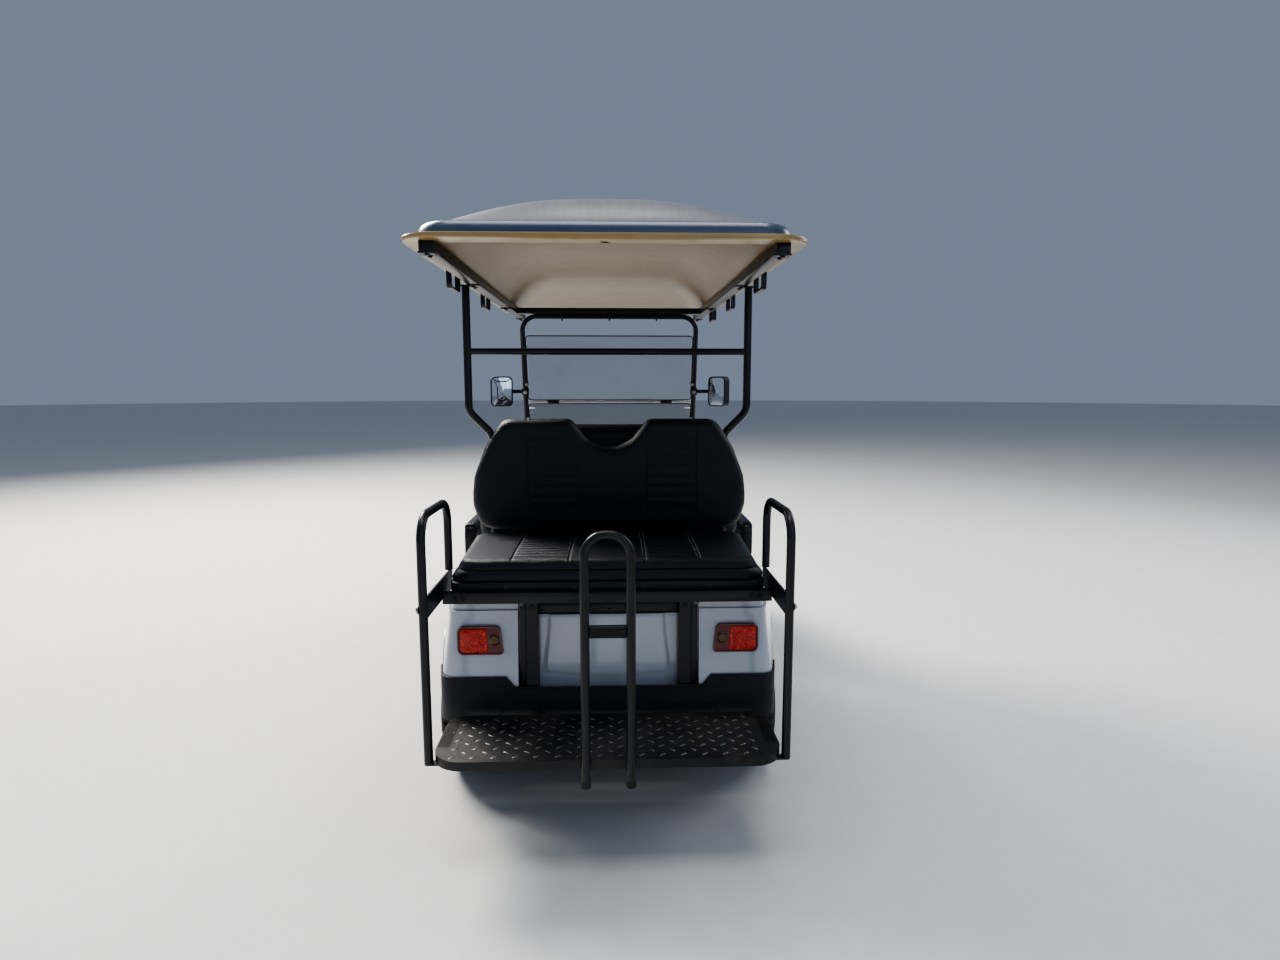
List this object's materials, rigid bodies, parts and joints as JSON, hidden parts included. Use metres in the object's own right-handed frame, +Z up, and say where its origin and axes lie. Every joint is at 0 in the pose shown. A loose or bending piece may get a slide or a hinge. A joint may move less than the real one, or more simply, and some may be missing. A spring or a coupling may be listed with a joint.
{
  "type": "four-seat golf cart",
  "caption": "Electric golf cart with a long roof, fold-down windshield, front bench and a rear-facing bench with a footplate; wheels roll, the front pair steers and both bench cushions lift.",
  "frame": {"origin": "on the floor under the middle of the cart's overall box", "axes": "+X is the cart's right, +Y its forward direction, +Z up"},
  "size_m": [1.2486, 2.7228, 1.9],
  "materials": {
    "frame_steel": "black powder coat",
    "chassis_steel": "black chassis paint, dusty",
    "axle_iron": "dark grey paint and bare metal",
    "spring_steel": "dark grey paint",
    "body_panel": "off-white gloss",
    "black_plastic": "textured black plastic",
    "floor_mat": "ribbed black rubber mat",
    "tyre_rubber": "black tyre rubber",
    "rim_metal": "light silver paint",
    "seat_vinyl": "black grained vinyl with stitching",
    "roof_plastic": "tan gloss plastic",
    "screen_plastic": "clear tinted acrylic",
    "red_lens": "red lens",
    "clear_lens": "clear lens",
    "tread_plate": "black tread plate",
    "battery_case": "black battery cases"
  },
  "bodies": {
    "chassis": {"chassis_frame": "chassis_steel", "floor_pan": "floor_mat", "battery_pack": "battery_case", "front_axle": "axle_iron", "rear_axle": "axle_iron", "leaf_springs": "spring_steel", "rear_body": "body_panel", "rear_access_panel": "body_panel", "rear_bumper": "black_plastic", "tail_lamps": "red_lens", "front_cowl": "body_panel", "front_bumper": "black_plastic", "head_lamps": "clear_lens", "dashboard": "black_plastic", "steering_column": "frame_steel", "pedals": "frame_steel", "rear_roof_frame": "frame_steel", "front_roof_frame": "frame_steel", "windshield": "screen_plastic", "roof_rails": "frame_steel", "roof_shell": "roof_plastic", "roof_handles": "frame_steel", "mirror_housings": "black_plastic", "front_seat_back": "seat_vinyl", "hip_restraints": "frame_steel", "rear_seat_back": "seat_vinyl", "rear_seat_frame": "frame_steel", "arm_loops": "frame_steel", "footplate": "tread_plate", "grab_bar": "frame_steel"},
    "steer_left": {"knuckle_left": "axle_iron"},
    "steer_right": {"knuckle_right": "axle_iron"},
    "tie_rod_link": {"tie_rod": "axle_iron"},
    "helm": {"steering_wheel": "black_plastic"},
    "front_seat": {"front_seat_cushion": "seat_vinyl"},
    "rear_seat": {"rear_seat_board": "black_plastic", "rear_seat_cushion": "seat_vinyl"},
    "wheel_front_left": {"tyre_front_left": "tyre_rubber", "rim_front_left": "rim_metal"},
    "wheel_front_right": {"tyre_front_right": "tyre_rubber", "rim_front_right": "rim_metal"},
    "wheel_rear_left": {"tyre_rear_left": "tyre_rubber", "rim_rear_left": "rim_metal"},
    "wheel_rear_right": {"tyre_rear_right": "tyre_rubber", "rim_rear_right": "rim_metal"}
  },
  "joints": [
    {"name": "steer_left_turn", "type": "hinge", "parent": "chassis", "child": "steer_left", "pos_m": [-0.32, 1, 0.2285], "axis": [0, 0, 1], "range_deg": [-30, 30]},
    {"name": "steer_right_turn", "type": "hinge", "parent": "chassis", "child": "steer_right", "pos_m": [0.32, 1, 0.2285], "axis": [0, 0, 1], "range_deg": [-30, 30]},
    {"name": "tie_rod_swing", "type": "hinge", "parent": "steer_left", "child": "tie_rod_link", "pos_m": [-0.32, 0.89, 0.152], "axis": [0, 0, 1], "range_deg": [-30, 30]},
    {"name": "steering_wheel_turn", "type": "hinge", "parent": "chassis", "child": "helm", "pos_m": [-0.268, 0.452, 0.985], "axis": [0, -0.5299, 0.848], "range_deg": [-360, 360]},
    {"name": "wheel_front_left_spin", "type": "hinge", "parent": "steer_left", "child": "wheel_front_left", "pos_m": [-0.445, 1, 0.2285], "axis": [1, 0, 0], "continuous": true},
    {"name": "wheel_front_right_spin", "type": "hinge", "parent": "steer_right", "child": "wheel_front_right", "pos_m": [0.445, 1, 0.2285], "axis": [1, 0, 0], "continuous": true},
    {"name": "wheel_rear_left_spin", "type": "hinge", "parent": "chassis", "child": "wheel_rear_left", "pos_m": [-0.455, -0.665, 0.2285], "axis": [1, 0, 0], "continuous": true},
    {"name": "wheel_rear_right_spin", "type": "hinge", "parent": "chassis", "child": "wheel_rear_right", "pos_m": [0.455, -0.665, 0.2285], "axis": [1, 0, 0], "continuous": true},
    {"name": "front_seat_lift", "type": "hinge", "parent": "chassis", "child": "front_seat", "pos_m": [0, 0.125, 0.6603], "axis": [-1, 0, 0], "range_deg": [0, 75]},
    {"name": "rear_seat_flip", "type": "hinge", "parent": "chassis", "child": "rear_seat", "pos_m": [0, -1.05, 0.727], "axis": [1, 0, 0], "range_deg": [0, 115]}
  ],
  "couplings": [
    {"joint": "steer_right_turn", "follows": "steer_left_turn", "ratio": 1},
    {"joint": "tie_rod_swing", "follows": "steer_left_turn", "ratio": -1},
    {"joint": "steering_wheel_turn", "follows": "steer_left_turn", "ratio": 12}
  ]
}
